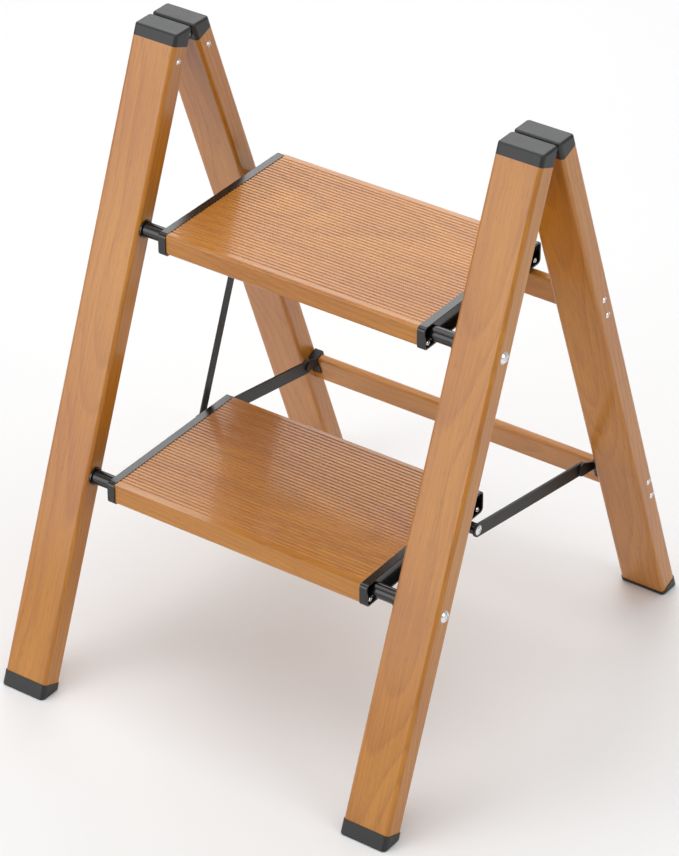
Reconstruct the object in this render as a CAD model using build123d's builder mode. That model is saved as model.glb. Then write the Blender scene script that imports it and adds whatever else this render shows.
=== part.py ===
"""Folding two-step step ladder: tube legs, two ribbed treads, link bars, moulded caps and feet.

Millimetres. X runs across the ladder, -Y is the side that is climbed, +Z is up, and the
origin is on the floor under the middle of the ladder. A leg has its own plane at the top
hinge line: local X across the leg, local Y outward from the face that meets the other leg
when the ladder is folded, and local Z down the leg.
"""
import os
from math import cos, radians, sin, tan

from build123d import *

os.makedirs("parts", exist_ok=True)

FRONT, REAR = -1, 1
LEFT, RIGHT = -1, 1
SIDE_NAMES = {LEFT: "left", RIGHT: "right"}

# Overall frame
overall_width = 472.0
apex_height = 647.3                      # where the mating faces of front and rear legs meet
tilt = {FRONT: 21.2, REAR: 20.6}         # degrees from vertical
running_fit = 0.06                       # radial clearance of a pin that turns
fixed_fit = 0.02                         # radial clearance of a pin that doesn't

# Leg tube
leg_width, leg_depth, leg_wall, leg_corner = 52.0, 24.6, 1.6, 4.0
leg_outer_x = overall_width / 2
leg_inner_x = leg_outer_x - leg_width
leg_middle_x = leg_outer_x - leg_width / 2
leg_centre_u = leg_depth / 2

# Caps and feet
cap_top_z = 648.0
cap_collar_end = 20.6
cap_edge = 2.6
cap_gap = 0.15
plug_length, plug_wall, plug_clearance = 34.0, 3.0, 0.15
foot_start, foot_proud, foot_edge = 687.0, 0.8, 1.6
foot_reach = 40.0

# Top hinge
hinge_drop = 10.0
pin_radius, knuckle_radius, knuckle_clearance = 2.5, 5.2, 0.3
knuckle_outer, knuckle_inner = 21.0, 8.0

# Treads
axle_s = {"upper": 204.0, "lower": 462.0}        # distance of each tread's axle down the front leg
tread_length, tread_depth, tread_thickness = 296.0, 200.0, 23.0
tread_nose = 13.5                                # from axle to front edge
tread_rise = 10.2                                # from axle to top face
tread_wall, tread_top_wall, tread_web = 1.8, 2.8, 1.6
tread_cells = 6
nose_radius, tread_corner = 5.0, 3.0
flute_pitch, flute_radius, flute_lift, flute_start = 4.8, 1.6, 0.85, 9.5
flute_count = 39
screw_inset_y, screw_inset_z = 6.8, 19.0         # bracket screws, from tread edge and from top

# Tread end brackets
bracket_web, bracket_reach, bracket_rim = 2.2, 8.8, 2.2
bracket_over, bracket_over_top = 1.4, 0.5
lug_radius, boss_radius = 8.0, 6.0
post_radius, post_reach = 3.0, 7.2               # posts under the bracket screws

# Tread axles
axle_radius, sleeve_radius, washer_radius = 5.0, 7.6, 9.4
washer_thickness, axle_gap = 2.0, 0.2
bolt_shank, bolt_tip, bolt_tip_length = 4.0, 3.0, 18.0
bolt_head = (6.4, 3.2)                           # heads are (radius, height)
spacer_tube_radius = 6.6

# Links
link_reach, link_drop = 155.6, 13.0              # link pivot behind and below the tread's axle
tie_width, tie_eye, tie_thickness = 9.6, 6.4, 2.0
stay_width, stay_thickness = 14.8, 2.4
tie_x, stay_x = 167.6, 170.4                     # inboard faces of the two link planes
link_pin, link_head = 3.0, (5.4, 1.8)
stay_rear_s, stay_rear_u = 501.287, -6.912       # rear pivot of the stay link on the rear leg's plane

# Rear crossbars
crossbar_height, crossbar_thickness, crossbar_wall, crossbar_corner = 36.0, 9.4, 1.5, 2.8
crossbar_s = {"upper": 241.0, "lower": 529.0}
crossbar_u = {"upper": 13.2, "lower": 17.2}
crossbar_screw_gap, crossbar_screw = 22.0, 2.0
crossbar_screw_head, crossbar_screw_bite = (3.4, 1.6), 18.0

# Small screws
cap_screw_s, cap_screw, cap_screw_head, cap_screw_bite = 36.0, 1.9, (3.4, 1.6), 9.0
bracket_screw, bracket_screw_head, bracket_screw_bite = 1.8, (2.7, 1.4), 12.0
recess_width, recess_depth = 1.1, 0.9


def reach_on_floor(facing):
    """Distance from the hinge line to the outer corner of the sole."""
    angle = radians(tilt[facing])
    return apex_height * tan(angle) + leg_depth / cos(angle)


hinge_y = (reach_on_floor(FRONT) - reach_on_floor(REAR)) / 2
hinge_z = apex_height - hinge_drop


def leg_point(facing, s, u):
    """World Y and Z of a point s down a leg and u outward from its mating face."""
    angle = radians(tilt[facing])
    y = hinge_y + facing * (s * sin(angle) + u * cos(angle))
    z = apex_height - s * cos(angle) + u * sin(angle)
    return y, z


def leg_plane(facing, side, s=0.0):
    """Plane across a leg, s down from the hinge line."""
    angle = radians(tilt[facing])
    y, z = leg_point(facing, s, 0)
    return Plane(origin=(side * leg_middle_x, y, z), x_dir=(-facing, 0, 0),
                 z_dir=(0, facing * sin(angle), -cos(angle)))


def side_plane(x, y, z, lean=0.0):
    """Plane facing +X; its X axis points to +Y, raised by lean degrees."""
    return Plane(origin=(x, y, z), x_dir=(0, cos(radians(lean)), sin(radians(lean))), z_dir=(1, 0, 0))


def bar(x_from, x_to, y, z, radius, mode=Mode.ADD):
    """Round bar along X, added to or cut from the open part."""
    with Locations(((x_from + x_to) / 2, y, z)):
        Cylinder(radius, abs(x_to - x_from), rotation=(0, 90, 0), mode=mode)


def domed_screw(x_face, outward, y, z, head, shank_radius, shank_length):
    """Domed screw with a cross recess; head is (radius, height), the shank goes in from x_face."""
    radius, height = head
    crown = Plane(origin=(x_face, y, z), x_dir=(0, 1, 0), z_dir=(0, 0, -outward))
    with BuildPart() as screw:
        with BuildSketch(crown):
            with BuildLine():
                TangentArc((0, height), (radius, 0), tangent=(1, 0))
                Polyline((radius, 0), (shank_radius, 0), (shank_radius, -shank_length), (0, -shank_length),
                         (0, height))
            make_face()
        revolve(axis=Axis((x_face, y, z), (outward, 0, 0)))
        with Locations((x_face + outward * height, y, z)):
            Box(2 * recess_depth, recess_width, radius, mode=Mode.SUBTRACT)
            Box(2 * recess_depth, radius, recess_width, mode=Mode.SUBTRACT)
    return screw.part


def grouped(pieces):
    """Separate like pieces as one part."""
    with BuildPart() as group:
        add(pieces)
    return group.part


def save(part, name):
    """Label a finished piece and write it."""
    part.label = name
    export_step(part, f"parts/{name}.step")


def leg_section(width, depth, corner):
    """Rounded section centred on the leg, in the open sketch."""
    with Locations((0, leg_centre_u)):
        return RectangleRounded(width, depth, corner)


# ---------------------------------------------------------------- legs, caps and feet

def make_leg(facing, side):
    """Hollow leg tube with its fastener holes."""
    inner = side * leg_inner_x
    outer = side * leg_outer_x
    with BuildPart() as leg:
        with BuildSketch(leg_plane(facing, side, cap_collar_end)):
            leg_section(leg_width, leg_depth, leg_corner)
            with Locations((0, leg_centre_u)):
                RectangleRounded(leg_width - 2 * leg_wall, leg_depth - 2 * leg_wall,
                                 leg_corner - leg_wall, mode=Mode.SUBTRACT)
        extrude(amount=foot_start - cap_collar_end)
        y, z = leg_point(facing, cap_screw_s, leg_centre_u)
        bar(inner - side, inner + 2 * side * leg_wall, y, z, cap_screw + fixed_fit, Mode.SUBTRACT)
        if facing == FRONT:
            for s in axle_s.values():
                y, z = leg_point(facing, s, leg_centre_u)
                bar(inner - side, outer + side, y, z, bolt_shank + fixed_fit, Mode.SUBTRACT)
        else:
            for y, z in crossbar_screw_points():
                bar(inner - side, outer + side, y, z, crossbar_screw + fixed_fit, Mode.SUBTRACT)
    return leg.part


def make_cap(facing, side):
    """Hinge cap: level top, collar flush with the tube, plug in the tube, knuckles on the pin."""
    centre = side * leg_middle_x
    with BuildPart() as cap:
        with BuildSketch(leg_plane(facing, side, cap_collar_end)):
            with Locations((0, leg_centre_u + cap_gap / 2)):
                RectangleRounded(leg_width, leg_depth - cap_gap, leg_corner)
        extrude(amount=-2 * cap_collar_end)
        split(bisect_by=Plane.XY.offset(cap_top_z), keep=Keep.BOTTOM)
        top_face = cap.faces().sort_by(Axis.Z)[-1]
        fillet(top_face.edges(), cap_edge)
        with BuildSketch(leg_plane(facing, side, cap_collar_end)):
            leg_section(leg_width - 2 * (leg_wall + plug_clearance),
                        leg_depth - 2 * (leg_wall + plug_clearance), leg_corner - leg_wall)
            with Locations((0, leg_centre_u)):
                Rectangle(leg_width - 2 * (leg_wall + plug_wall), leg_depth - 2 * (leg_wall + plug_wall),
                          mode=Mode.SUBTRACT)
        extrude(amount=plug_length)
        own, other = knuckle_spans(facing), knuckle_spans(-facing)
        for low, high in other:
            bar(centre + low - knuckle_clearance, centre + high + knuckle_clearance, hinge_y, hinge_z,
                knuckle_radius + knuckle_clearance, Mode.SUBTRACT)
        for low, high in own:
            bar(centre + low, centre + high, hinge_y, hinge_z, knuckle_radius)
        fit = fixed_fit if facing == FRONT else running_fit
        bar(centre - leg_width / 2, centre + leg_width / 2, hinge_y, hinge_z, pin_radius + fit,
            Mode.SUBTRACT)
        y, z = leg_point(facing, cap_screw_s, leg_centre_u)
        bar(side * leg_inner_x, side * (leg_inner_x + cap_screw_bite + 1), y, z, cap_screw + fixed_fit,
            Mode.SUBTRACT)
    return cap.part


def knuckle_spans(facing):
    """Stretches of the hinge pin, from the leg's middle, that a cap's knuckles take."""
    if facing == FRONT:
        return [(-knuckle_outer, -knuckle_inner), (knuckle_inner, knuckle_outer)]
    return [(-knuckle_inner + knuckle_clearance, knuckle_inner - knuckle_clearance)]


def make_foot(facing, side):
    """Wedge foot: collar square to the leg, sole level with the floor, plug in the tube."""
    with BuildPart() as foot:
        with BuildSketch(leg_plane(facing, side, foot_start)):
            leg_section(leg_width + 2 * foot_proud, leg_depth + 2 * foot_proud, leg_corner + foot_proud)
        extrude(amount=foot_reach)
        split(bisect_by=Plane.XY, keep=Keep.TOP)
        sole = foot.faces().sort_by(Axis.Z)[0]
        fillet(sole.edges(), foot_edge)
        with BuildSketch(leg_plane(facing, side, foot_start)):
            leg_section(leg_width - 2 * (leg_wall + plug_clearance),
                        leg_depth - 2 * (leg_wall + plug_clearance), leg_corner - leg_wall)
        extrude(amount=-plug_length)
    return foot.part


def make_hinge_pin(side):
    """Pin through the knuckles of one pair of caps."""
    centre = side * leg_middle_x
    with BuildPart() as pin:
        bar(centre - knuckle_outer, centre + knuckle_outer, hinge_y, hinge_z, pin_radius)
        chamfer(pin.edges().filter_by(GeomType.CIRCLE), 0.4)
    return pin.part


def make_cap_screws(facing):
    """One screw through the inner face of each leg into its cap."""
    y, z = leg_point(facing, cap_screw_s, leg_centre_u)
    return grouped([domed_screw(side * leg_inner_x, -side, y, z, cap_screw_head, cap_screw, cap_screw_bite)
                    for side in (LEFT, RIGHT)])


# ---------------------------------------------------------------- axles of the treads

def make_axle(level):
    """Rod between the front legs, bored at both ends for the axle bolts."""
    y, z = leg_point(FRONT, axle_s[level], leg_centre_u)
    with BuildPart() as axle:
        bar(-leg_inner_x, leg_inner_x, y, z, axle_radius)
        for side in (LEFT, RIGHT):
            bar(side * leg_inner_x, side * (leg_inner_x - bolt_tip_length - 1), y, z,
                bolt_tip + fixed_fit, Mode.SUBTRACT)
    return axle.part


def make_sleeve(level, side):
    """Sleeve on the axle between the tread's bracket and the leg's washer."""
    y, z = leg_point(FRONT, axle_s[level], leg_centre_u)
    start = tread_length / 2 + bracket_web + 2 * axle_gap
    end = leg_inner_x - washer_thickness
    with BuildPart() as sleeve:
        bar(side * start, side * end, y, z, sleeve_radius)
        chamfer(sleeve.edges().filter_by(GeomType.CIRCLE), 0.6)
        bar(side * start, side * end, y, z, axle_radius + fixed_fit, Mode.SUBTRACT)
    return sleeve.part


def make_axle_washers():
    """Washers between the sleeves and the legs."""
    with BuildPart() as washers:
        for s in axle_s.values():
            y, z = leg_point(FRONT, s, leg_centre_u)
            for side in (LEFT, RIGHT):
                inner, outer = side * (leg_inner_x - washer_thickness), side * leg_inner_x
                bar(inner, outer, y, z, washer_radius)
                bar(inner - side, outer + side, y, z, axle_radius + fixed_fit, Mode.SUBTRACT)
    return washers.part


def make_axle_bolt(level, side):
    """Domed bolt through a front leg into the end of an axle."""
    y, z = axle_point(level)
    shoulder = domed_screw(side * leg_outer_x, side, y, z, bolt_head, bolt_shank, leg_width)
    with BuildPart() as bolt:
        add(shoulder)
        bar(side * leg_inner_x, side * (leg_inner_x - bolt_tip_length), y, z, bolt_tip)
    return bolt.part


def make_leg_spacers():
    """Spacer tubes inside the front legs, round the axle bolts."""
    with BuildPart() as spacers:
        for s in axle_s.values():
            y, z = leg_point(FRONT, s, leg_centre_u)
            for side in (LEFT, RIGHT):
                inner, outer = side * (leg_inner_x + leg_wall), side * (leg_outer_x - leg_wall)
                bar(inner, outer, y, z, spacer_tube_radius)
                bar(inner, outer, y, z, bolt_shank + fixed_fit, Mode.SUBTRACT)
    return spacers.part


# ---------------------------------------------------------------- treads

def axle_point(level):
    """World Y and Z of a tread's axle."""
    return leg_point(FRONT, axle_s[level], leg_centre_u)


def make_board(level):
    """Fluted hollow extrusion between the brackets."""
    y, z = axle_point(level)
    top, bottom = tread_rise, tread_rise - tread_thickness
    rear = tread_depth - tread_nose
    cell_width = (tread_depth - 2 * tread_wall - (tread_cells - 1) * tread_web) / tread_cells
    cell_height = tread_thickness - tread_wall - tread_top_wall
    with BuildPart() as board:
        with BuildSketch(side_plane(-tread_length / 2, y, z)) as section:
            with Locations(((rear - tread_nose) / 2, (top + bottom) / 2)):
                Rectangle(tread_depth, tread_thickness)
            nose = section.vertices().sort_by(Axis.Y)[:2].sort_by(Axis.Z)[-1]
            fillet(nose, nose_radius)
            square_corners = section.vertices().sort_by(Axis.Z)[:2] + section.vertices().sort_by(Axis.Y)[-1:]
            fillet(square_corners, tread_corner)
            first_flute = -tread_nose + flute_start
            with Locations((first_flute + (flute_count - 1) * flute_pitch / 2, top + flute_lift)):
                with GridLocations(flute_pitch, 0, flute_count, 1):
                    Circle(flute_radius, mode=Mode.SUBTRACT)
            with Locations(((rear - tread_nose) / 2, bottom + tread_wall + cell_height / 2)):
                with GridLocations(cell_width + tread_web, 0, tread_cells, 1):
                    RectangleRounded(cell_width, cell_height, 1.2, mode=Mode.SUBTRACT)
            with Locations(*screw_places()):
                Circle(bracket_screw + 2.0)
                Circle(bracket_screw + fixed_fit, mode=Mode.SUBTRACT)
        extrude(amount=tread_length)
    return board.part


def screw_places():
    """Bracket screws on a tread's end, from its axle."""
    height = tread_rise - screw_inset_z
    return [(screw_inset_y - tread_nose, height), (tread_depth - tread_nose - screw_inset_y, height)]


def boss_end(level, side):
    """Distance from the middle to the end of a link boss; the upper right bracket has none."""
    if side == LEFT:
        return tie_x - 0.2
    return stay_x - 0.4 if level == "lower" else None


def make_bracket(level, side):
    """Moulded end bracket: web on the tread's end, rim and screw posts outward, link boss on a lug."""
    y, z = axle_point(level)
    width = tread_depth + 2 * bracket_over
    height = tread_thickness + bracket_over + bracket_over_top
    middle = (tread_depth / 2 - tread_nose, tread_rise + bracket_over_top - height / 2)
    face = side * tread_length / 2
    web_face = side * (tread_length / 2 + bracket_web)
    post_face = side * (tread_length / 2 + post_reach)
    with BuildPart() as bracket:
        with BuildSketch(side_plane(face, y, z)):
            with Locations(middle):
                RectangleRounded(width, height, nose_radius)
            if boss_end(level, side):
                with Locations((link_reach, -link_drop)):
                    Circle(lug_radius)
        extrude(amount=side * bracket_web)
        with BuildSketch(side_plane(web_face, y, z)):
            with Locations(middle):
                RectangleRounded(width, height, nose_radius)
                RectangleRounded(width - 2 * bracket_rim, height - 2 * bracket_rim,
                                 nose_radius - bracket_rim, mode=Mode.SUBTRACT)
        extrude(amount=side * (bracket_reach - bracket_web))
        rim_edges = bracket.faces().sort_by(Axis.X)[-1 if side == RIGHT else 0].edges()
        fillet(rim_edges, 0.6)
        if boss_end(level, side):
            end = side * boss_end(level, side)
            bar(web_face, end, y + link_reach, z - link_drop, boss_radius)
            bar(face, end, y + link_reach, z - link_drop, link_pin + fixed_fit, Mode.SUBTRACT)
        bar(face, web_face, y, z, axle_radius + running_fit, Mode.SUBTRACT)
        for across, up in screw_places():
            bar(web_face, post_face, y + across, z + up, post_radius)
            bar(face, post_face, y + across, z + up, bracket_screw + fixed_fit, Mode.SUBTRACT)
    return bracket.part


def make_bracket_screws(level):
    """Screws that hold a tread's two brackets."""
    y, z = axle_point(level)
    post_face = tread_length / 2 + post_reach
    shank = post_reach - bracket_web + bracket_screw_bite
    return grouped([domed_screw(side * post_face, side, y + across, z + up, bracket_screw_head,
                                bracket_screw, shank)
                    for side in (LEFT, RIGHT) for across, up in screw_places()])


def make_link_pins(level):
    """Pins in a tread's bracket bosses; the left ones carry the tie link under a thin head."""
    y, z = axle_point(level)
    y, z = y + link_reach, z - link_drop
    start = tread_length / 2 + 0.4
    head_x = tie_x + tie_thickness + 0.1
    with BuildPart() as pins:
        bar(-start, -head_x, y, z, link_pin)
        bar(-head_x, -(head_x + 0.4), y, z, link_head[0] - 1)
        if boss_end(level, RIGHT):
            bar(start, boss_end(level, RIGHT), y, z, link_pin)
    return pins.part


# ---------------------------------------------------------------- links

def stay_front_point():
    """World Y and Z of the stay link's front pivot."""
    y, z = axle_point("lower")
    return y + link_reach, z - link_drop


def make_tie_link():
    """Flat bar on the left that keeps the two treads parallel."""
    y0, z0 = stay_front_point()
    y1, z1 = axle_point("upper")
    y1, z1 = y1 + link_reach, z1 - link_drop
    length = Vector(0, y1 - y0, z1 - z0).length
    with BuildPart() as link:
        with BuildSketch(side_plane(-tie_x, y0, z0, 90 - tilt[FRONT])):
            with Locations((length / 2, 0)):
                Rectangle(length, tie_width)
            with Locations((0, 0), (length, 0)):
                Circle(tie_eye)
            with Locations((0, 0), (length, 0)):
                Circle(link_pin + running_fit, mode=Mode.SUBTRACT)
        extrude(amount=-tie_thickness)
    return link.part


def make_stay_link(side):
    """Flat bar from the lower tread to the rear frame."""
    y0, z0 = stay_front_point()
    y1, z1 = leg_point(REAR, stay_rear_s, stay_rear_u)
    run = Vector(0, y1 - y0, z1 - z0)
    plane = Plane(origin=(side * stay_x, y0, z0), x_dir=run.normalized(), z_dir=(1, 0, 0))
    with BuildPart() as link:
        with BuildSketch(plane):
            with Locations((run.length / 2, 0)):
                SlotOverall(run.length + stay_width, stay_width)
            with Locations((0, 0)):
                Circle(link_pin + fixed_fit, mode=Mode.SUBTRACT)
            with Locations((run.length, 0)):
                Circle(link_pin + running_fit, mode=Mode.SUBTRACT)
        extrude(amount=side * stay_thickness)
    return link.part


def make_stay_rivet(side):
    """Domed rivet at the front end of a stay link."""
    y, z = stay_front_point()
    return domed_screw(side * (stay_x + stay_thickness), side, y, z, link_head, link_pin, stay_thickness)


def make_stay_clip(side):
    """Clip hooked over the lower crossbar; its inboard ear carries the stay link's rear pivot."""
    thickness = 1.8
    clip_x, clip_width = stay_x + stay_thickness + 0.4, 10.4
    y, z = leg_point(REAR, 0, 0)
    top = crossbar_s["lower"] - crossbar_height / 2 - fixed_fit
    front = crossbar_u["lower"] - crossbar_thickness / 2 - fixed_fit
    back = crossbar_u["lower"] + crossbar_thickness / 2 + fixed_fit
    plane = side_plane(side * clip_x, y, z, tilt[REAR])
    with BuildPart() as clip:
        with BuildSketch(plane):
            with BuildLine():
                Polyline((front, -(top + 22)), (front - thickness, -(top + 22)),
                         (front - thickness, -(top - thickness)), (back + thickness, -(top - thickness)),
                         (back + thickness, -(top + 9)), (back, -(top + 9)), (back, -top), (front, -top),
                         close=True)
            make_face()
        extrude(amount=side * clip_width)
        with BuildSketch(plane):
            with BuildLine():
                Polyline((front - thickness + 0.5, -(top - thickness)),
                         (stay_rear_u + 3.7, -(stay_rear_s - 6.4)),
                         (stay_rear_u - 3.7, -(stay_rear_s + 6.4)),
                         (front - thickness + 0.5, -(top + 9)), close=True)
            make_face()
            with Locations((stay_rear_u, -stay_rear_s)):
                Circle(stay_width / 2)
        extrude(amount=side * thickness)
        y, z = leg_point(REAR, stay_rear_s, stay_rear_u)
        bar(side * (clip_x - 1), side * (clip_x + thickness + 1), y, z, link_pin + fixed_fit, Mode.SUBTRACT)
    return clip.part


def make_stay_pivots():
    """Headed pins through the clip ears that carry the rear ends of the stay links."""
    y, z = leg_point(REAR, stay_rear_s, stay_rear_u)
    with BuildPart() as pivots:
        for side in (LEFT, RIGHT):
            bar(side * (stay_x - 0.2), side * (stay_x + stay_thickness + 2.2), y, z, link_pin)
            bar(side * (stay_x - 1.6), side * (stay_x - 0.2), y, z, link_head[0] - 0.6)
    return pivots.part


# ---------------------------------------------------------------- rear crossbars

def crossbar_screw_points():
    """World Y and Z of every crossbar screw."""
    points = []
    for level in ("upper", "lower"):
        for offset in (-crossbar_screw_gap / 2, crossbar_screw_gap / 2):
            points.append(leg_point(REAR, crossbar_s[level] + offset, crossbar_u[level]))
    return points


def make_crossbar(level):
    """Hollow flat bar between the rear legs with screw channels."""
    y, z = leg_point(REAR, crossbar_s[level], crossbar_u[level])
    hollow_height = crossbar_screw_gap - 2 * crossbar_screw - 3.0
    with BuildPart() as crossbar:
        with BuildSketch(side_plane(-leg_inner_x, y, z, tilt[REAR])):
            RectangleRounded(crossbar_thickness, crossbar_height, crossbar_corner)
            RectangleRounded(crossbar_thickness - 2 * crossbar_wall, hollow_height, 1.0, mode=Mode.SUBTRACT)
            with GridLocations(0, crossbar_screw_gap, 1, 2):
                Circle(crossbar_screw + fixed_fit, mode=Mode.SUBTRACT)
        extrude(amount=2 * leg_inner_x)
    return crossbar.part


def make_crossbar_screws():
    """Screws through the rear legs into the crossbars' screw channels."""
    return grouped([domed_screw(side * leg_outer_x, side, y, z, crossbar_screw_head, crossbar_screw,
                                leg_width + crossbar_screw_bite)
                    for y, z in crossbar_screw_points() for side in (LEFT, RIGHT)])


def build_ladder():
    """Make and write every piece."""
    for facing, end in ((FRONT, "front"), (REAR, "rear")):
        for side in (LEFT, RIGHT):
            name = SIDE_NAMES[side]
            save(make_leg(facing, side), f"{end}_leg_{name}")
            save(make_cap(facing, side), f"{end}_cap_{name}")
            save(make_foot(facing, side), f"{end}_foot_{name}")
        save(make_cap_screws(facing), f"{end}_cap_screws")
    for level in ("upper", "lower"):
        save(make_axle(level), f"{level}_axle")
        save(make_board(level), f"{level}_tread_board")
        save(make_bracket_screws(level), f"{level}_bracket_screws")
        save(make_link_pins(level), f"{level}_link_pins")
        save(make_crossbar(level), f"{level}_crossbar")
        for side in (LEFT, RIGHT):
            save(make_sleeve(level, side), f"{level}_axle_sleeve_{SIDE_NAMES[side]}")
            save(make_bracket(level, side), f"{level}_bracket_{SIDE_NAMES[side]}")
    for side in (LEFT, RIGHT):
        name = SIDE_NAMES[side]
        save(make_hinge_pin(side), f"hinge_pin_{name}")
        save(make_stay_link(side), f"stay_link_{name}")
        save(make_stay_rivet(side), f"stay_rivet_{name}")
        save(make_stay_clip(side), f"stay_clip_{name}")
    save(make_tie_link(), "tie_link")
    save(make_stay_pivots(), "stay_pivots")
    save(make_axle_washers(), "axle_washers")
    bolts = [make_axle_bolt(level, side) for level in ("upper", "lower") for side in (LEFT, RIGHT)]
    save(grouped(bolts), "axle_bolts")
    save(make_leg_spacers(), "leg_spacer_tubes")
    save(make_crossbar_screws(), "crossbar_screws")


build_ladder()
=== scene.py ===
"""Finishes and studio for a folding two-step step ladder, laid out as a Blender add-on.

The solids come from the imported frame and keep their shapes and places. Every length is in
metres: +X runs across the ladder, -Y is the side that is climbed and +Z is up.
"""

from math import cos, radians, sin

import bpy
from bpy.props import FloatProperty, FloatVectorProperty, PointerProperty
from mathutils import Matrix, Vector


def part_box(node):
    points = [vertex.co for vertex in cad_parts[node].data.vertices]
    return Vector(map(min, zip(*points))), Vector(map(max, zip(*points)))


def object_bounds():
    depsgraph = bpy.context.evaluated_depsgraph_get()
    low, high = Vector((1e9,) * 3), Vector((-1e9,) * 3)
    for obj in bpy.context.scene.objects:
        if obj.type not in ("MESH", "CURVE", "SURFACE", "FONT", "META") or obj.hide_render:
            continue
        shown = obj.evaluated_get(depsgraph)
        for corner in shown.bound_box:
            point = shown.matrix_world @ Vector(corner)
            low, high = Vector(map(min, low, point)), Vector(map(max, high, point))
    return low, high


bl_info = {
    "name": "Folding step ladder finishes",
    "version": (1, 0, 0),
    "blender": (4, 5, 0),
    "location": "View3D > Sidebar > Step Ladder",
    "description": "Wood-print, moulding and metal finishes for a folding step ladder, with its studio",
    "category": "Object",
}

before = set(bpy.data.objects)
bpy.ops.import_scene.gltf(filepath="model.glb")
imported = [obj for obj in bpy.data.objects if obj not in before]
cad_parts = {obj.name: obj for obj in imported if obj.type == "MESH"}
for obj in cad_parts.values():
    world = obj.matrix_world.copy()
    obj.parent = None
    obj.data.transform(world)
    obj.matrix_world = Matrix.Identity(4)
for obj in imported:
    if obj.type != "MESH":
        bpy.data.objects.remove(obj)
CAD_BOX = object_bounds()

SIDES = ("left", "right")
LEVELS = ("upper", "lower")
FRONT, REAR = -1, 1
LEG_TILT = {FRONT: radians(21.2), REAR: radians(20.6)}
ACROSS, DEEP, UP = Vector((1, 0, 0)), Vector((0, 1, 0)), Vector((0, 0, 1))


# ---------------------------------------------------------------- shader building

class Signal:
    """A number or vector on its way through a material; arithmetic on it adds Math nodes."""

    def __init__(self, finish, socket):
        self.finish = finish
        self.socket = socket

    def __add__(self, other):
        return self.finish.math("ADD", self, other)

    def __radd__(self, other):
        return self.finish.math("ADD", other, self)

    def __sub__(self, other):
        return self.finish.math("SUBTRACT", self, other)

    def __rsub__(self, other):
        return self.finish.math("SUBTRACT", other, self)

    def __mul__(self, other):
        return self.finish.math("MULTIPLY", self, other)

    def __rmul__(self, other):
        return self.finish.math("MULTIPLY", other, self)


class Finish:
    """One material: a Principled shader and the nodes that vary it over a surface."""

    def __init__(self, name, constants):
        self.material = bpy.data.materials.new(name)
        self.material.use_nodes = True
        self.tree = self.material.node_tree
        self.tree.nodes.clear()
        self.shader = self.node("ShaderNodeBsdfPrincipled", {}, constants)
        self.node("ShaderNodeOutputMaterial", {}, {"Surface": self.output(self.shader, "BSDF")})
        place = self.node("ShaderNodeTexCoord", {}, {})
        self.place = self.output(place, "Object")

    def node(self, kind, settings, inputs):
        """Adds a node; its settings are set first, then its sockets are given values or links."""
        node = self.tree.nodes.new(kind)
        for key, value in settings.items():
            if key == "stops":
                self.set_stops(node.color_ramp, value)
            else:
                setattr(node, key, value)
        self.feed(node, inputs)
        return node

    def feed(self, node, inputs):
        """Gives a node's sockets their values or links."""
        for key, value in inputs.items():
            if isinstance(value, Signal):
                self.tree.links.new(value.socket, node.inputs[key])
            else:
                node.inputs[key].default_value = value

    def set_stops(self, ramp, stops):
        """Sets a ramp's stops, each a position and a grey level."""
        while len(ramp.elements) < len(stops):
            ramp.elements.new(1.0)
        for element, (position, level) in zip(ramp.elements, stops):
            element.position = position
            element.color = (level, level, level, 1.0)

    def output(self, node, key):
        """A node's output as a signal."""
        return Signal(self, node.outputs[key])

    def math(self, operation, *values):
        """Math node on numbers and signals."""
        node = self.node("ShaderNodeMath", {"operation": operation}, dict(enumerate(values)))
        return self.output(node, 0)

    def vector(self, operation, *values):
        """Vector Math node; a dot product gives a number and the others a vector."""
        node = self.node("ShaderNodeVectorMath", {"operation": operation}, dict(enumerate(values)))
        return self.output(node, "Value" if operation == "DOT_PRODUCT" else "Vector")

    def combine(self, x, y, z):
        """Vector from three numbers or signals."""
        return self.output(self.node("ShaderNodeCombineXYZ", {}, {"X": x, "Y": y, "Z": z}), "Vector")

    def noise(self, place, scale, detail=2.0, distortion=0.0):
        """Smooth noise from 0 to 1, its scale in waves per metre."""
        node = self.node("ShaderNodeTexNoise", {},
                         {"Vector": place, "Scale": scale, "Detail": detail, "Distortion": distortion})
        return self.output(node, "Fac")

    def ramp(self, value, *stops):
        """Grey ramp over a signal."""
        node = self.node("ShaderNodeValToRGB", {"stops": stops}, {"Fac": value})
        return self.output(node, "Color")

    def mix(self, share, first, second):
        """Mix of two colours, each four numbers or a signal."""
        node = self.node("ShaderNodeMix", {"data_type": "RGBA"}, {"Factor": share})
        self.feed_colours(node, first, second)
        return Signal(self, next(s for s in node.outputs if s.type == "RGBA"))

    def feed_colours(self, node, first, second):
        """Feeds the two colour sockets of a Mix node, which share their names with its other sockets."""
        sockets = [s for s in node.inputs if s.type == "RGBA"]
        for socket, value in zip(sockets, (first, second)):
            if isinstance(value, Signal):
                self.tree.links.new(value.socket, socket)
            else:
                socket.default_value = value

    def bump(self, height, strength, distance):
        """Feeds the shader's normal from a height signal."""
        node = self.node("ShaderNodeBump", {}, {"Height": height, "Strength": strength, "Distance": distance})
        self.feed(self.shader, {"Normal": self.output(node, "Normal")})


def opaque(colour, level=1.0):
    """Four-number colour from a three-number one, darkened or lightened by a factor."""
    return tuple(min(1.0, channel * level) for channel in colour) + (1.0,)


def grain_frame(along, outward):
    """Unit vectors along the grain, out of the broad face and across it."""
    along, outward = Vector(along).normalized(), Vector(outward).normalized()
    return along, outward, along.cross(outward)


# ---------------------------------------------------------------- finishes

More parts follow.
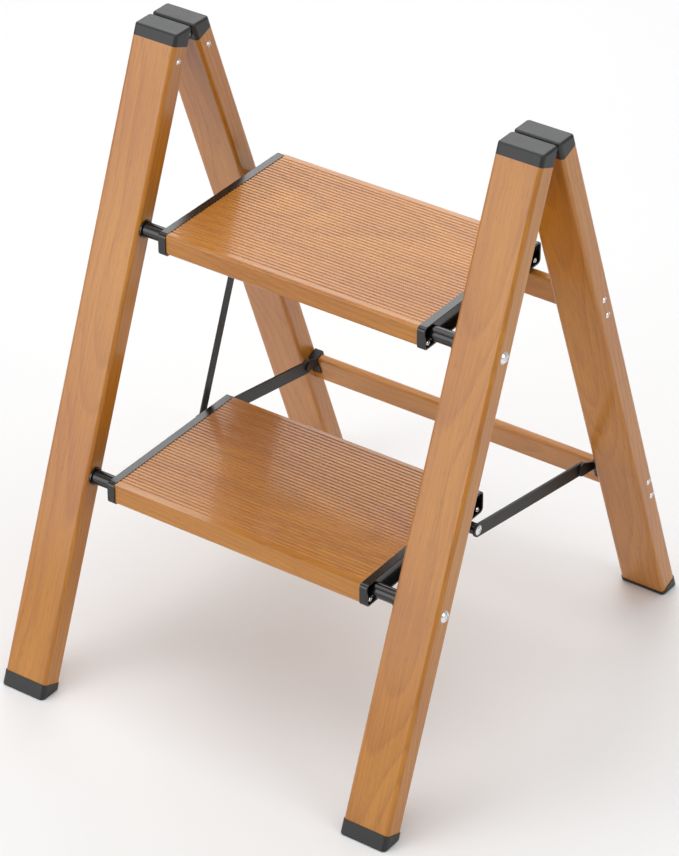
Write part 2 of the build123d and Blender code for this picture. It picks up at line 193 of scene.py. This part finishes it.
def wood_print(name, along, outward, heart, seed):
    """Honey-coloured wood print under clear lacquer.

    The figure is cut from a tapering trunk whose heart is a line at the point heart, running
    along the grain, so the broad face shows tall arches and the edges show straight lines.
    """
    wood = bpy.context.scene.ladder_wood
    finish = Finish(name, {
        "Roughness": wood.roughness, "Specular IOR Level": wood.sheen,
        "Coat Weight": wood.lacquer, "Coat Roughness": wood.lacquer_roughness, "Coat IOR": 1.5,
    })
    along, outward, across = grain_frame(along, outward)
    start = finish.vector("SUBTRACT", finish.place, heart)
    length = finish.vector("DOT_PRODUCT", start, along)
    depth = finish.vector("DOT_PRODUCT", start, outward)
    width = finish.vector("DOT_PRODUCT", start, across)

    drift = finish.noise(finish.combine(width, depth, length * 0.45 + seed), 9.0, 1.0)
    sway = finish.noise(finish.combine(width * 0.5, depth * 0.5, length + seed * 3.1), 4.0, 1.0)
    side = width + (sway - 0.5) * 0.05
    radius = finish.math("SQRT", side * side + depth * depth)
    rings = finish.math("FRACT", (radius + length * wood.taper + (drift - 0.5) * 0.03)
                        * (1 / wood.ring_spacing))
    late_wood = finish.ramp(rings, (0.0, 0.0), (0.55, 0.35), (0.86, 1.0), (1.0, 0.0))

    fibre_place = finish.combine(width, depth, length * 0.025 + seed)
    fibres = finish.noise(fibre_place, 520.0, 3.0, 0.3)
    pores = finish.ramp(finish.noise(finish.combine(width, depth, length * 0.06 + seed * 1.7), 1150.0, 1.0),
                        (0.60, 0.0), (0.72, 1.0))
    clouds = finish.noise(finish.combine(width, depth, length * 0.3 + seed * 2.3), 16.0, 2.0)

    ground = finish.mix(finish.ramp(clouds, (0.3, 0.0), (0.7, 1.0)), opaque(wood.light), opaque(wood.warm))
    figured = finish.mix(late_wood * wood.figure, ground, opaque(wood.dark))
    streaked = finish.mix(finish.ramp(fibres, (0.35, 0.0), (0.75, 1.0)) * 0.34, figured, opaque(wood.dark))
    colour = finish.mix(pores * 0.3, streaked, opaque(wood.dark, 0.55))
    finish.feed(finish.shader, {
        "Base Color": colour,
        "Roughness": wood.roughness + (fibres - 0.5) * 0.12 + late_wood * 0.03,
    })
    finish.bump(fibres * 0.6 + late_wood * 0.4, 0.12, 0.00012)
    return finish.material


def moulding(name, colour, roughness, grain_height, sheen=0.5):
    """Moulded plastic with a fine spark-eroded grain and faint flow marks."""
    finish = Finish(name, {"Specular IOR Level": sheen})
    grain = finish.noise(finish.place, 1900.0, 2.0)
    flow = finish.noise(finish.place, 38.0, 3.0, 0.6)
    scuffs = finish.ramp(finish.noise(finish.place, 210.0, 4.0, 1.2), (0.58, 0.0), (0.72, 1.0))
    tint = finish.mix(flow, opaque(colour, 0.82), opaque(colour, 1.18))
    finish.feed(finish.shader, {
        "Base Color": finish.mix(scuffs * 0.12, tint, opaque(colour, 2.2)),
        "Roughness": roughness + (flow - 0.5) * 0.08 + (grain - 0.5) * 0.1 + scuffs * 0.06,
    })
    finish.bump(grain, 0.25, grain_height)
    return finish.material


def powder_coat(name, colour, roughness):
    """Baked powder coat with the shallow dimples of sprayed paint."""
    finish = Finish(name, {"Specular IOR Level": 0.45})
    dimples = finish.noise(finish.place, 900.0, 2.0)
    patches = finish.noise(finish.place, 55.0, 2.0)
    finish.feed(finish.shader, {
        "Base Color": finish.mix(patches, opaque(colour, 0.8), opaque(colour, 1.25)),
        "Roughness": roughness + (dimples - 0.5) * 0.14 + (patches - 0.5) * 0.1,
    })
    finish.bump(dimples, 0.3, 0.00015)
    return finish.material


def bright_plate(name, colour):
    """Bright plating with faint clouding and hairline polish marks."""
    finish = Finish(name, {"Metallic": 1.0})
    clouding = finish.noise(finish.place, 260.0, 3.0)
    marks = finish.noise(finish.vector("MULTIPLY", finish.place, (1.0, 0.12, 0.5)), 4200.0, 2.0)
    finish.feed(finish.shader, {
        "Base Color": finish.mix(clouding, opaque(colour, 0.92), opaque(colour)),
        "Roughness": 0.1 + clouding * 0.1 + marks * 0.06,
    })
    finish.bump(marks, 0.1, 0.00005)
    return finish.material


def turned_steel(name, colour):
    """Drawn or turned rod along X, with fine rings left by the tool."""
    finish = Finish(name, {"Metallic": 1.0})
    rings = finish.noise(finish.vector("MULTIPLY", finish.place, (1.0, 0.03, 0.03)), 2600.0, 2.0)
    stain = finish.noise(finish.place, 90.0, 3.0)
    finish.feed(finish.shader, {
        "Base Color": finish.mix(stain * 0.6 + rings * 0.4, opaque(colour, 0.78), opaque(colour)),
        "Roughness": 0.26 + rings * 0.14 + stain * 0.08,
    })
    finish.bump(rings, 0.2, 0.00006)
    return finish.material


def studio_floor(name, colour):
    """Matt pale floor with the faintest mottle."""
    finish = Finish(name, {"Specular IOR Level": 0.2})
    mottle = finish.noise(finish.place, 3.0, 3.0)
    finish.feed(finish.shader, {
        "Base Color": finish.mix(mottle, opaque(colour, 0.985), opaque(colour)),
        "Roughness": 0.75 + (mottle - 0.5) * 0.08,
    })
    return finish.material


def coat(nodes, material):
    """Gives CAD nodes their finish."""
    for name in nodes:
        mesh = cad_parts[name].data
        mesh.materials.clear()
        mesh.materials.append(material)


def middle(node):
    """Centre of a CAD node's box."""
    low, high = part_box(node)
    return (low + high) / 2


# ---------------------------------------------------------------- settings

class LadderWoodSettings(bpy.types.PropertyGroup):
    """Wood print on the tubes, treads and crossbars."""

    light: FloatVectorProperty(name="Light wood", description="Colour of the palest early wood",
                               subtype="COLOR", min=0, max=1, default=(0.56, 0.225, 0.016))
    warm: FloatVectorProperty(name="Warm wood", description="Colour of the warmer clouds",
                              subtype="COLOR", min=0, max=1, default=(0.46, 0.160, 0.010))
    dark: FloatVectorProperty(name="Dark wood", description="Colour of late wood, fibres and pores",
                              subtype="COLOR", min=0, max=1, default=(0.24, 0.068, 0.007))
    figure: FloatProperty(name="Figure", description="Strength of the growth rings",
                          subtype="FACTOR", min=0, max=1, default=0.28)
    ring_spacing: FloatProperty(name="Ring spacing", description="Distance between growth rings",
                                unit="LENGTH", min=0.001, default=0.0055)
    taper: FloatProperty(name="Taper", description="Slope of the trunk, which sets how tall the arches are",
                         min=0, max=0.5, default=0.045)
    roughness: FloatProperty(name="Roughness", description="Roughness of the printed film",
                             subtype="FACTOR", min=0, max=1, default=0.34)
    sheen: FloatProperty(name="Film gloss", description="Specular level of the printed film",
                         subtype="FACTOR", min=0, max=1, default=0.4)
    lacquer: FloatProperty(name="Lacquer", description="Weight of the clear lacquer",
                           subtype="FACTOR", min=0, max=1, default=0.5)
    lacquer_roughness: FloatProperty(name="Lacquer roughness", description="Roughness of the clear lacquer",
                                     subtype="FACTOR", min=0, max=1, default=0.12)


class LadderPartsSettings(bpy.types.PropertyGroup):
    """Mouldings and metal parts."""

    moulding: FloatVectorProperty(name="Caps and feet", description="Colour of the caps and feet",
                                  subtype="COLOR", min=0, max=1, default=(0.014, 0.015, 0.016))
    bracket: FloatVectorProperty(name="Brackets", description="Colour of the tread brackets and sleeves",
                                 subtype="COLOR", min=0, max=1, default=(0.005, 0.005, 0.0055))
    link: FloatVectorProperty(name="Links", description="Colour of the link bars and clips",
                              subtype="COLOR", min=0, max=1, default=(0.006, 0.006, 0.0065))
    plate: FloatVectorProperty(name="Fasteners", description="Colour of the bright plating",
                               subtype="COLOR", min=0, max=1, default=(0.86, 0.86, 0.87))
    rod: FloatVectorProperty(name="Rods", description="Colour of the plain steel rods",
                             subtype="COLOR", min=0, max=1, default=(0.56, 0.56, 0.58))


class LadderStudioSettings(bpy.types.PropertyGroup):
    """Floor, surroundings and camera."""

    floor_size: FloatProperty(name="Floor size", description="Side of the square floor",
                              unit="LENGTH", min=1, default=24.0)
    floor_colour: FloatVectorProperty(name="Floor", description="Colour of the floor",
                                      subtype="COLOR", min=0, max=1, default=(0.9, 0.9, 0.9))
    surroundings: FloatProperty(name="Surroundings", description="Strength of the even pale surroundings",
                                min=0, default=0.5)
    azimuth: FloatProperty(name="Camera azimuth", description="Turn of the camera from straight ahead",
                           subtype="ANGLE", default=radians(35.03))
    elevation: FloatProperty(name="Camera elevation", description="Height of the camera above the horizon",
                             subtype="ANGLE", default=radians(32.9))
    distance: FloatProperty(name="Camera distance", description="From the camera to the point it looks at",
                            unit="LENGTH", min=0.5, default=3.758)
    lens: FloatProperty(name="Lens", description="Focal length for a 36 mm wide sensor",
                        unit="CAMERA", min=10, default=158.1)
    aim_height: FloatProperty(name="Aim height", description="Height of the aim, as a share of the ladder's",
                              min=0, max=1, default=0.401)
    aim_shift: FloatVectorProperty(name="Aim shift", description="From the middle of the ladder to the aim",
                                   subtype="TRANSLATION", unit="LENGTH", default=(0.00025, -0.0116, 0))


# ---------------------------------------------------------------- operators

class LADDER_OT_legs(bpy.types.Operator):
    """Puts the wood print on the four leg tubes, its grain running down each tube"""

    bl_idname = "ladder.legs"
    bl_label = "Leg tubes"

    def execute(self, context):
        for row, (end, facing) in enumerate((("front", FRONT), ("rear", REAR))):
            tilt = LEG_TILT[facing]
            along = (0, facing * sin(tilt), -cos(tilt))
            outward = Vector((0, facing * cos(tilt), sin(tilt)))
            for column, side in enumerate(SIDES):
                node = f"{end}_leg_{side}"
                seed = 1.37 * row + 2.61 * column
                heart = middle(node) - 0.045 * outward + (0.012 - 0.02 * column) * ACROSS
                coat([node], wood_print(f"wood_print_{node}", along, outward, heart, seed))
        return {"FINISHED"}


class LADDER_OT_treads(bpy.types.Operator):
    """Puts the wood print on the two ribbed tread boards"""

    bl_idname = "ladder.treads"
    bl_label = "Treads"

    def execute(self, context):
        for row, level in enumerate(LEVELS):
            node = f"{level}_tread_board"
            heart = middle(node) - 0.16 * UP + (0.03 - 0.05 * row) * DEEP
            coat([node], wood_print(f"wood_print_{node}", ACROSS, UP, heart, 4.2 + 1.9 * row))
        return {"FINISHED"}


class LADDER_OT_crossbars(bpy.types.Operator):
    """Puts the wood print on the two rear crossbars"""

    bl_idname = "ladder.crossbars"
    bl_label = "Crossbars"

    def execute(self, context):
        tilt = LEG_TILT[REAR]
        outward = Vector((0, cos(tilt), sin(tilt)))
        for row, level in enumerate(LEVELS):
            node = f"{level}_crossbar"
            heart = middle(node) - 0.05 * outward
            coat([node], wood_print(f"wood_print_{node}", ACROSS, outward, heart, 7.7 + 2.2 * row))
        return {"FINISHED"}


class LADDER_OT_caps_and_feet(bpy.types.Operator):
    """Gives the leg caps and feet their dark moulded plastic"""

    bl_idname = "ladder.caps_and_feet"
    bl_label = "Caps and feet"

    def execute(self, context):
        colour = context.scene.ladder_parts.moulding
        nodes = [f"{end}_{piece}_{side}" for end in ("front", "rear") for piece in ("cap", "foot")
                 for side in SIDES]
        coat(nodes, moulding("grained_dark_plastic", colour, 0.42, 0.00008))
        return {"FINISHED"}


class LADDER_OT_brackets(bpy.types.Operator):
    """Gives the tread brackets, axle sleeves and washers their glossy black plastic"""

    bl_idname = "ladder.brackets"
    bl_label = "Brackets and sleeves"

    def execute(self, context):
        colour = context.scene.ladder_parts.bracket
        nodes = [f"{level}_{piece}_{side}" for level in LEVELS for piece in ("bracket", "axle_sleeve")
                 for side in SIDES]
        coat(nodes + ["axle_washers"], moulding("glossy_black_plastic", colour, 0.2, 0.00003, 0.6))
        return {"FINISHED"}


class LADDER_OT_links(bpy.types.Operator):
    """Gives the link bars, clips and their pins a black powder coat"""

    bl_idname = "ladder.links"
    bl_label = "Link bars"

    def execute(self, context):
        colour = context.scene.ladder_parts.link
        nodes = [f"{piece}_{side}" for piece in ("stay_link", "stay_clip") for side in SIDES]
        nodes += ["tie_link", "upper_link_pins", "lower_link_pins", "stay_pivots"]
        coat(nodes, powder_coat("black_powder_coat", colour, 0.42))
        return {"FINISHED"}


class LADDER_OT_fasteners(bpy.types.Operator):
    """Gives the bolts, screws and rivets their bright plating"""

    bl_idname = "ladder.fasteners"
    bl_label = "Bolts, screws and rivets"

    def execute(self, context):
        nodes = ["front_cap_screws", "rear_cap_screws", "upper_bracket_screws", "lower_bracket_screws",
                 "axle_bolts", "crossbar_screws", "stay_rivet_left", "stay_rivet_right"]
        coat(nodes, bright_plate("bright_plating", context.scene.ladder_parts.plate))
        return {"FINISHED"}


class LADDER_OT_rods(bpy.types.Operator):
    """Gives the axles, hinge pins and spacer tubes their turned steel"""

    bl_idname = "ladder.rods"
    bl_label = "Axles and pins"

    def execute(self, context):
        nodes = ["upper_axle", "lower_axle", "hinge_pin_left", "hinge_pin_right", "leg_spacer_tubes"]
        coat(nodes, turned_steel("turned_steel", context.scene.ladder_parts.rod))
        return {"FINISHED"}


class LADDER_OT_stage(bpy.types.Operator):
    """Lays the pale floor, hangs the soft lights and sets up the camera"""

    bl_idname = "ladder.stage"
    bl_label = "Studio"

    def execute(self, context):
        studio = context.scene.ladder_studio
        self.lay_floor(studio)
        self.light_world(context.scene, studio)
        centre = (CAD_BOX[0] + CAD_BOX[1]) / 2
        self.hang_light("ceiling_softbox", centre, (-0.25, -0.1, 2.6), 2.6, 38.0)
        self.hang_light("front_softbox", centre, (-1.7, -2.9, 0.9), 2.2, 36.0)
        self.hang_light("back_softbox", centre, (-1.5, 2.3, 1.9), 1.9, 28.0)
        self.hang_light("right_softbox", centre, (2.9, -0.3, 1.3), 1.6, 16.0)
        self.place_camera(context.scene, studio)
        return {"FINISHED"}

    def lay_floor(self, studio):
        """Square floor at the height of the soles."""
        half = studio.floor_size / 2
        mesh = bpy.data.meshes.new("studio_floor")
        corners = [(-half, -half, 0), (half, -half, 0), (half, half, 0), (-half, half, 0)]
        mesh.from_pydata(corners, [], [(0, 1, 2, 3)])
        mesh.materials.append(studio_floor("pale_floor", studio.floor_colour))
        floor = bpy.data.objects.new("studio_floor", mesh)
        bpy.context.scene.collection.objects.link(floor)

    def light_world(self, scene, studio):
        """Even pale surroundings."""
        world = bpy.data.worlds.new("studio_air")
        world.use_nodes = True
        background = world.node_tree.nodes["Background"]
        background.inputs["Color"].default_value = (1.0, 1.0, 1.0, 1.0)
        background.inputs["Strength"].default_value = studio.surroundings
        scene.world = world
        scene.view_settings.view_transform = "Standard"

    def hang_light(self, name, centre, offset, size, power):
        """Square soft light, offset from the ladder and turned towards it."""
        lamp = bpy.data.lights.new(name, "AREA")
        lamp.size = size
        lamp.energy = power
        light = bpy.data.objects.new(name, lamp)
        light.location = centre + Vector(offset)
        light.rotation_mode = "QUATERNION"
        light.rotation_quaternion = Vector(offset).to_track_quat("Z", "Y")
        bpy.context.scene.collection.objects.link(light)

    def place_camera(self, scene, studio):
        """Camera turned to the climbed side's right, looking down at the ladder."""
        data = bpy.data.cameras.new("camera")
        data.lens = studio.lens
        data.sensor_width = 36.0
        camera = bpy.data.objects.new("camera", data)
        back = Vector((sin(studio.azimuth) * cos(studio.elevation),
                       -cos(studio.azimuth) * cos(studio.elevation), sin(studio.elevation)))
        low, high = CAD_BOX
        aim = Vector(((low.x + high.x) / 2, (low.y + high.y) / 2, studio.aim_height * high.z))
        camera.location = aim + Vector(studio.aim_shift) + back * studio.distance
        camera.rotation_mode = "QUATERNION"
        camera.rotation_quaternion = back.to_track_quat("Z", "Y")
        bpy.context.scene.collection.objects.link(camera)
        scene.camera = camera


class LADDER_PT_panel(bpy.types.Panel):
    """Finishes and studio of the step ladder."""

    bl_idname = "LADDER_PT_panel"
    bl_label = "Step Ladder"
    bl_space_type = "VIEW_3D"
    bl_region_type = "UI"
    bl_category = "Step Ladder"

    def draw(self, context):
        for operator in OPERATORS:
            self.layout.operator(operator.bl_idname)
        for group in ("ladder_wood", "ladder_parts", "ladder_studio"):
            settings = getattr(context.scene, group)
            box = self.layout.box()
            for name in settings.__annotations__:
                box.prop(settings, name)


OPERATORS = (LADDER_OT_legs, LADDER_OT_treads, LADDER_OT_crossbars, LADDER_OT_caps_and_feet,
             LADDER_OT_brackets, LADDER_OT_links, LADDER_OT_fasteners, LADDER_OT_rods, LADDER_OT_stage)
SETTINGS = {"ladder_wood": LadderWoodSettings, "ladder_parts": LadderPartsSettings,
            "ladder_studio": LadderStudioSettings}


def register():
    for group in SETTINGS.values():
        bpy.utils.register_class(group)
    for name, group in SETTINGS.items():
        setattr(bpy.types.Scene, name, PointerProperty(type=group))
    for operator in OPERATORS:
        bpy.utils.register_class(operator)
    bpy.utils.register_class(LADDER_PT_panel)


def unregister():
    bpy.utils.unregister_class(LADDER_PT_panel)
    for operator in reversed(OPERATORS):
        bpy.utils.unregister_class(operator)
    for name, group in SETTINGS.items():
        delattr(bpy.types.Scene, name)
        bpy.utils.unregister_class(group)


def main():
    """Registers the add-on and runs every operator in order."""
    register()
    for operator in OPERATORS:
        category, name = operator.bl_idname.split(".")
        getattr(getattr(bpy.ops, category), name)()


if __name__ == "__main__":
    main()
